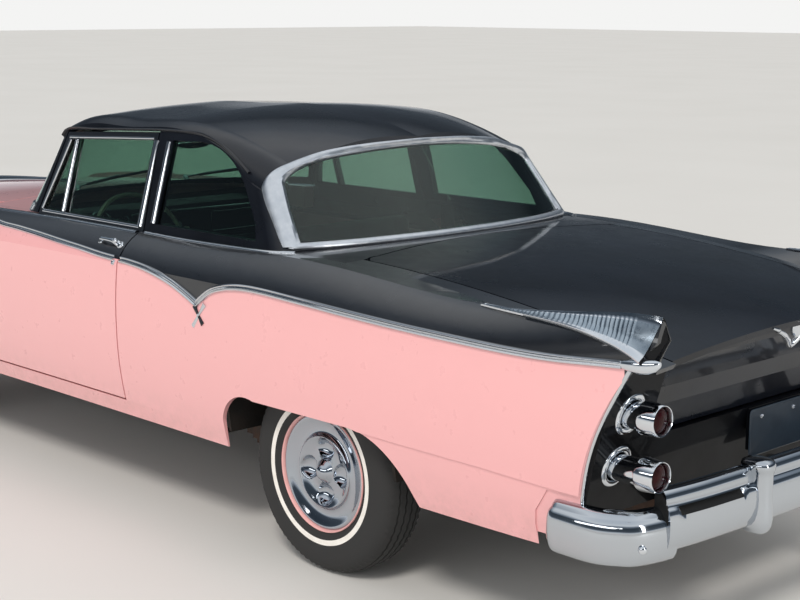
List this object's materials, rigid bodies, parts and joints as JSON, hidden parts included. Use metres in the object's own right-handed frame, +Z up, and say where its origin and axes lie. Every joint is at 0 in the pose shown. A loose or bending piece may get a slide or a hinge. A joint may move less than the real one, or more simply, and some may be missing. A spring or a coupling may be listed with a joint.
{
  "type": "two-door sedan car of the 1950s",
  "caption": "Full-size 1950s two-door sedan with a black top over a pink body, chrome trim, opening doors, hood and trunk, and steered front wheels.",
  "frame": {"origin": "on the ground, at the middle of the car's length and width", "axes": "+X forward, +Y to the car's left, +Z up"},
  "size_m": [5.387, 1.8848, 1.5251],
  "materials": {
    "pink_paint": "gloss",
    "black_paint": "gloss",
    "underbody_paint": "matt",
    "bright_chrome": "polished",
    "window_glass": "clear, slightly green",
    "lamp_lens": "gloss",
    "tyre_rubber": "matt",
    "bare_steel": "dull",
    "engine_iron": "rough",
    "seat_cloth": "woven"
  },
  "bodies": {
    "body": {"chassis": "underbody_paint", "floor_pan": "underbody_paint", "cowl": "pink_paint", "quarter_panel_left": "pink_paint", "quarter_panel_right": "pink_paint", "wheelhouses": "underbody_paint", "rocker_panels": "pink_paint", "front_fender_left": "pink_paint", "front_fender_right": "pink_paint", "front_panel": "pink_paint", "grille": "bright_chrome", "headlamps": "window_glass", "tail_panel": "black_paint", "tail_lamps": "lamp_lens", "fin_trim": "bright_chrome", "deck_panel": "black_paint", "roof": "black_paint", "windshield": "window_glass", "rear_window": "window_glass", "quarter_glass": "window_glass", "front_bumper": "bright_chrome", "rear_bumper": "bright_chrome", "engine_block": "engine_iron", "fuel_tank": "bare_steel", "exhaust": "bare_steel", "rear_axle": "underbody_paint", "dashboard": "black_paint", "front_seat": "seat_cloth", "rear_seat": "seat_cloth"},
    "door_left": {"door_left": "pink_paint", "door_glass_left": "window_glass"},
    "door_right": {"door_right": "pink_paint", "door_glass_right": "window_glass"},
    "hood": {"hood": "pink_paint"},
    "trunk_lid": {"trunk_lid": "black_paint"},
    "knuckle_left": {"knuckle_left": "bare_steel"},
    "knuckle_right": {"knuckle_right": "bare_steel"},
    "steering_wheel": {"steering_wheel": "black_paint"},
    "wheel_front_left": {"tyre_front_left": "tyre_rubber", "wheel_front_left": "bright_chrome"},
    "wheel_front_right": {"tyre_front_right": "tyre_rubber", "wheel_front_right": "bright_chrome"},
    "wheel_rear_left": {"tyre_rear_left": "tyre_rubber", "wheel_rear_left": "bright_chrome"},
    "wheel_rear_right": {"tyre_rear_right": "tyre_rubber", "wheel_rear_right": "bright_chrome"}
  },
  "joints": [
    {"name": "door_left_hinge", "type": "hinge", "parent": "body", "child": "door_left", "pos_m": [0.9825, 0.944, 0.75], "axis": [0, 0, -1], "range_deg": [0, 65]},
    {"name": "door_right_hinge", "type": "hinge", "parent": "body", "child": "door_right", "pos_m": [0.9825, -0.944, 0.75], "axis": [0, 0, 1], "range_deg": [0, 65]},
    {"name": "hood_hinge", "type": "hinge", "parent": "body", "child": "hood", "pos_m": [1.098, 0, 1.088], "axis": [0, -1, 0], "range_deg": [0, 50]},
    {"name": "trunk_lid_hinge", "type": "hinge", "parent": "body", "child": "trunk_lid", "pos_m": [-1.193, 0, 1.092], "axis": [0, 1, 0], "range_deg": [0, 55]},
    {"name": "steer_left", "type": "hinge", "parent": "body", "child": "knuckle_left", "pos_m": [1.8175, 0.65, 0.355], "axis": [0, 0, 1], "range_deg": [-26, 26]},
    {"name": "steer_right", "type": "hinge", "parent": "body", "child": "knuckle_right", "pos_m": [1.8175, -0.65, 0.355], "axis": [0, 0, 1], "range_deg": [-26, 26]},
    {"name": "steering_wheel_turn", "type": "hinge", "parent": "body", "child": "steering_wheel", "pos_m": [0.43, 0.38, 0.925], "axis": [-0.8829, 0, 0.4695], "range_deg": [-416, 416]},
    {"name": "roll_front_left", "type": "hinge", "parent": "knuckle_left", "child": "wheel_front_left", "pos_m": [1.8175, 0.75, 0.355], "axis": [0, 1, 0], "continuous": true},
    {"name": "roll_front_right", "type": "hinge", "parent": "knuckle_right", "child": "wheel_front_right", "pos_m": [1.8175, -0.75, 0.355], "axis": [0, 1, 0], "continuous": true},
    {"name": "roll_rear_left", "type": "hinge", "parent": "body", "child": "wheel_rear_left", "pos_m": [-1.2305, 0.75, 0.355], "axis": [0, 1, 0], "continuous": true},
    {"name": "roll_rear_right", "type": "hinge", "parent": "body", "child": "wheel_rear_right", "pos_m": [-1.2305, -0.75, 0.355], "axis": [0, 1, 0], "continuous": true}
  ],
  "couplings": [
    {"joint": "steer_right", "follows": "steer_left", "ratio": 1},
    {"joint": "steering_wheel_turn", "follows": "steer_left", "ratio": 16}
  ]
}
